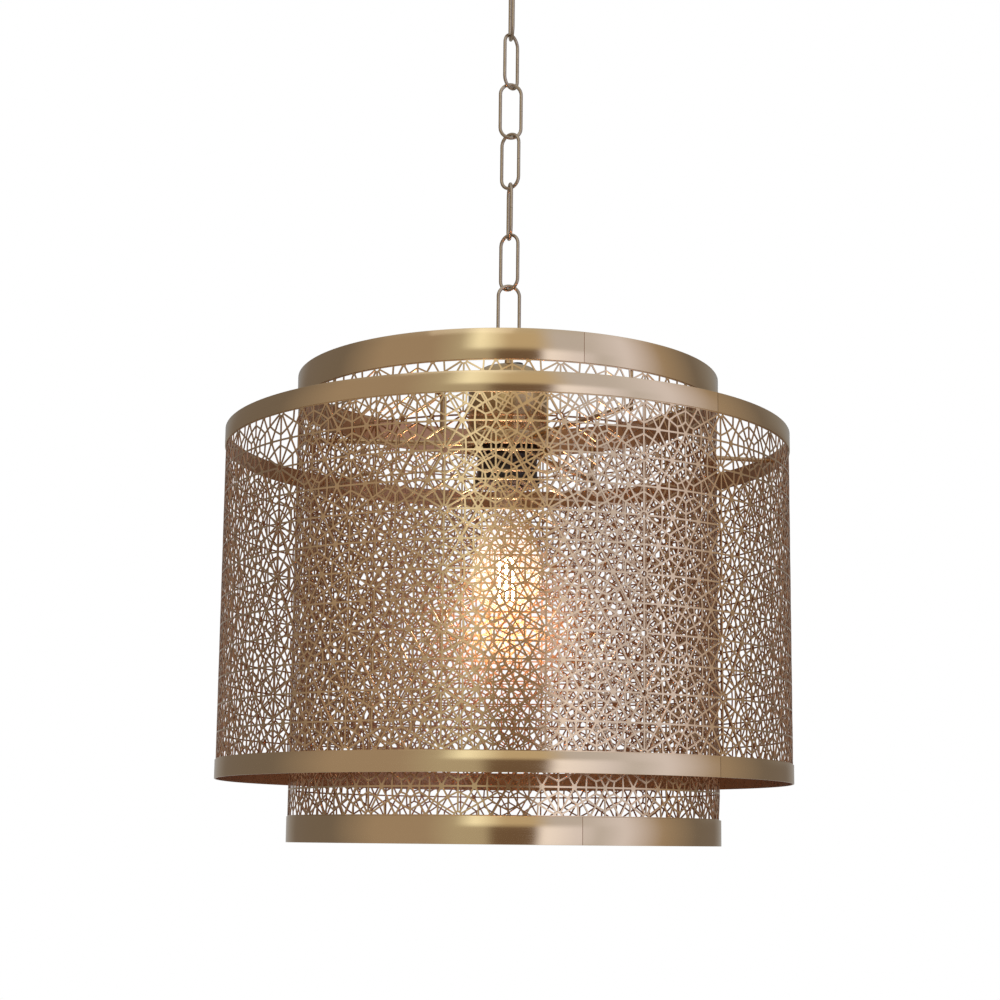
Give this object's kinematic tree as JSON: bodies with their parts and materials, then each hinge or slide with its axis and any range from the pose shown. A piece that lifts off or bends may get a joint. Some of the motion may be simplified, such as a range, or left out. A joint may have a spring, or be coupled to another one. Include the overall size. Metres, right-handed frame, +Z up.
{
  "type": "pendant lantern",
  "caption": "Hanging lantern of two concentric pierced-brass drums with plain edge bands, carried on a chain from a ceiling hook and lit by a single screw-cap bulb.",
  "frame": {"origin": "on the ceiling plane, midway between the two screw holes of the ceiling bracket, on the lantern's axis", "axes": "+Z up along the lantern's axis, -Y towards the viewer, +X to the right"},
  "size_m": [0.5, 0.4999, 0.8506],
  "materials": {
    "satin_brass": "satin rolled brass, fine brushing along the strip",
    "pierced_brass": "etched brass sheet, satin",
    "cup_brass": "polished brass",
    "chain_metal": "antique nickel over brass wire",
    "plated_steel": "zinc plated",
    "bakelite": "dark brown moulded",
    "gland_nylon": "moulded nylon",
    "contact_brass": "stamped brass",
    "cap_nickel": "nickel plated",
    "black_glass": "fused black glass",
    "solder": "solder",
    "clear_glass": "clear, faintly amber",
    "support_wire": "drawn wire",
    "filament": "lit filament"
  },
  "bodies": {
    "ceiling": {"ceiling_bracket": "plated_steel", "ceiling_canopy": "satin_brass", "canopy_gland": "gland_nylon", "ceiling_hook": "chain_metal", "hook_nut": "plated_steel", "canopy_nut": "satin_brass"},
    "link_1": {"chain_link_1": "chain_metal"},
    "link_2": {"chain_link_2": "chain_metal"},
    "link_3": {"chain_link_3": "chain_metal"},
    "link_4": {"chain_link_4": "chain_metal"},
    "link_5": {"chain_link_5": "chain_metal"},
    "link_6": {"chain_link_6": "chain_metal"},
    "link_7": {"chain_link_7": "chain_metal"},
    "lantern": {"suspension_loop": "cup_brass", "holder_cup": "cup_brass", "cup_gland": "gland_nylon", "center_tube": "plated_steel", "spider_hub": "cup_brass", "spider_arms": "cup_brass", "hanger_rods": "cup_brass", "drum_spacers": "cup_brass", "inner_sheet": "pierced_brass", "inner_top_band": "satin_brass", "inner_bottom_band": "satin_brass", "outer_sheet": "pierced_brass", "outer_top_band": "satin_brass", "outer_bottom_band": "satin_brass", "lampholder_body": "bakelite", "lampholder_thread": "contact_brass", "lampholder_contact": "contact_brass", "shade_ring": "bakelite"},
    "bulb": {"bulb_cap": "cap_nickel", "bulb_insulator": "black_glass", "bulb_contact": "solder", "bulb_glass": "clear_glass", "bulb_stem": "clear_glass", "filament_supports": "support_wire", "bulb_filaments": "filament"}
  },
  "joints": [
    {"name": "link_1_swing", "type": "hinge", "parent": "ceiling", "child": "link_1", "pos_m": [0, 0, -0.065], "axis": [0.9903, 0.1392, 0], "range_deg": [-20, 20]},
    {"name": "link_2_swing", "type": "hinge", "parent": "link_1", "child": "link_2", "pos_m": [0, 0, -0.11265], "axis": [-0.1392, 0.9903, 0], "range_deg": [-20, 20]},
    {"name": "link_3_swing", "type": "hinge", "parent": "link_2", "child": "link_3", "pos_m": [0, 0, -0.16075], "axis": [0.6018, 0.7986, 0], "range_deg": [-20, 20]},
    {"name": "link_4_swing", "type": "hinge", "parent": "link_3", "child": "link_4", "pos_m": [0, 0, -0.20885], "axis": [0.9903, 0.1392, 0], "range_deg": [-20, 20]},
    {"name": "link_5_swing", "type": "hinge", "parent": "link_4", "child": "link_5", "pos_m": [0, 0, -0.25695], "axis": [0.7986, -0.6018, 0], "range_deg": [-20, 20]},
    {"name": "link_6_swing", "type": "hinge", "parent": "link_5", "child": "link_6", "pos_m": [0, 0, -0.30505], "axis": [0.1392, -0.9903, 0], "range_deg": [-20, 20]},
    {"name": "link_7_swing", "type": "hinge", "parent": "link_6", "child": "link_7", "pos_m": [0, 0, -0.35315], "axis": [0.7986, -0.6018, 0], "range_deg": [-20, 20]},
    {"name": "lantern_swing", "type": "hinge", "parent": "link_7", "child": "lantern", "pos_m": [0, 0, -0.40125], "axis": [0.9903, 0.1392, 0], "range_deg": [-20, 20]},
    {"name": "bulb_turn", "type": "hinge", "parent": "lantern", "child": "bulb", "pos_m": [0, 0, -0.54], "axis": [0, 0, -1], "range_deg": [0, 1260]}
  ]
}
